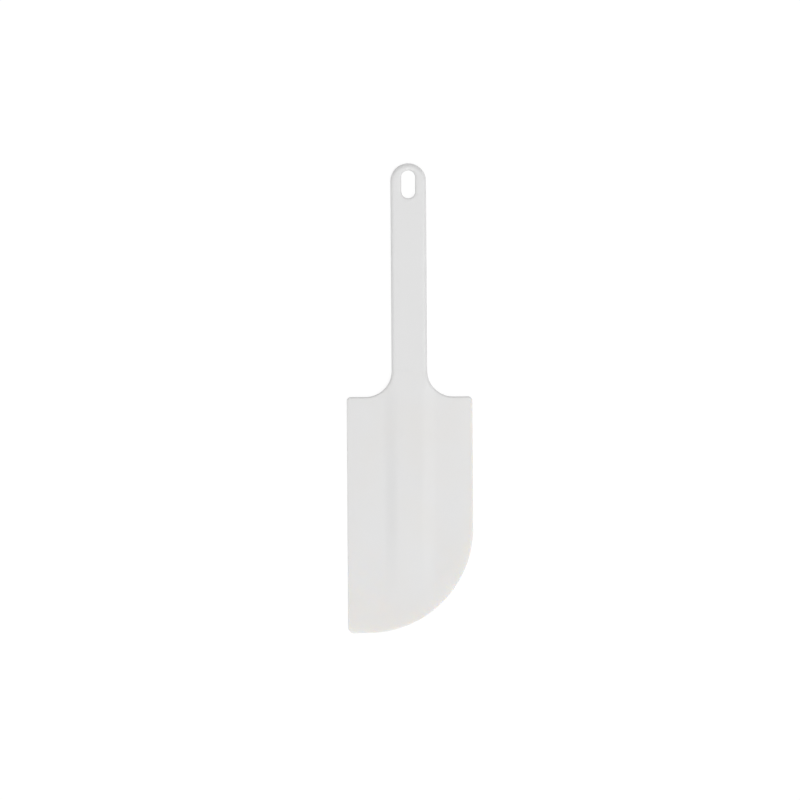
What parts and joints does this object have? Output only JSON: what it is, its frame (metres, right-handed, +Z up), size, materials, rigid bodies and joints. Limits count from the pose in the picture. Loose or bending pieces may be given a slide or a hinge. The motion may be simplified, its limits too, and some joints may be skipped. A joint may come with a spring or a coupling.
{
  "type": "bench scraper",
  "caption": "Flat plastic bench scraper: a long straight handle with a hang slot, and a wide flexible blade with a straight back edge and a broad curved scraping edge.",
  "frame": {"origin": "middle of the box's underside, with the scraper lying flat on the surface it rests on", "axes": "+X towards the curved side of the blade, +Y towards the handle's end, +Z up through the thickness"},
  "size_m": [0.0668, 0.25, 0.0056],
  "materials": {
    "handle": "satin white, fine moulded texture",
    "blade": "satin white, slightly translucent where it is thin"
  },
  "bodies": {
    "root": {"handle": "handle", "blade": "blade"}
  },
  "joints": []
}
